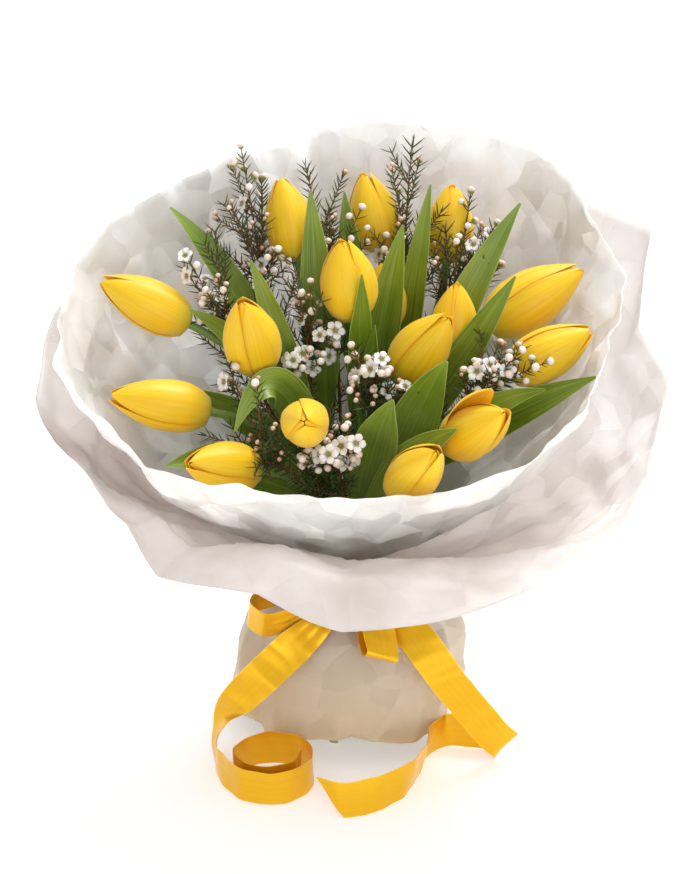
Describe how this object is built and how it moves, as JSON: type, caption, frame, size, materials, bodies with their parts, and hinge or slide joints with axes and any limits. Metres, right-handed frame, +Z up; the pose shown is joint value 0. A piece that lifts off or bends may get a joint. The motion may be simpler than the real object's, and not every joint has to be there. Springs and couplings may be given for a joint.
{
  "type": "bunch of tulips",
  "caption": "Hand-tied bunch of yellow tulips with waxflower sprays, wrapped in two sheets of translucent tissue and tied with satin ribbon, standing on its cut stems",
  "frame": {"origin": "on the ground, in the middle of the bunch's box", "axes": "+Z up, -Y to the front of the bunch, +X to its right as seen from the front"},
  "size_m": [0.4142, 0.3595, 0.3986],
  "materials": {
    "petals": "silky, smooth, slightly translucent",
    "tulip_green": "waxy leaf green",
    "waxflower": "thin woody twigs with white flowers",
    "twine": "matt twisted fibre",
    "tissue": "crinkled, translucent, faint sheen",
    "ribbon": "woven satin, glossy"
  },
  "bodies": {
    "root": {"bloom_01": "petals", "bloom_02": "petals", "bloom_03": "petals", "bloom_04": "petals", "bloom_05": "petals", "bloom_06": "petals", "bloom_07": "petals", "bloom_08": "petals", "bloom_09": "petals", "bloom_10": "petals", "bloom_11": "petals", "bloom_12": "petals", "bloom_13": "petals", "bloom_14": "petals", "bloom_15": "petals", "bloom_16": "petals", "leafy-stem_01": "tulip_green", "leafy-stem_02": "tulip_green", "leafy-stem_03": "tulip_green", "leafy-stem_04": "tulip_green", "leafy-stem_05": "tulip_green", "leafy-stem_06": "tulip_green", "leafy-stem_07": "tulip_green", "leafy-stem_08": "tulip_green", "leafy-stem_09": "tulip_green", "leafy-stem_10": "tulip_green", "leafy-stem_11": "tulip_green", "leafy-stem_12": "tulip_green", "leafy-stem_13": "tulip_green", "leafy-stem_14": "tulip_green", "leafy-stem_15": "tulip_green", "leafy-stem_16": "tulip_green", "waxflower_01": "waxflower", "waxflower_02": "waxflower", "waxflower_03": "waxflower", "waxflower_04": "waxflower", "waxflower_05": "waxflower", "waxflower_06": "waxflower", "waxflower_07": "waxflower", "waxflower_08": "waxflower", "waxflower_09": "waxflower", "waxflower_10": "waxflower", "binding_twine": "twine", "wrap_inner": "tissue", "wrap_outer": "tissue", "ribbon_band": "ribbon", "ribbon_loop_left": "ribbon", "ribbon_loop_right": "ribbon", "ribbon_tail_left": "ribbon", "ribbon_tail_right": "ribbon"}
  },
  "joints": []
}
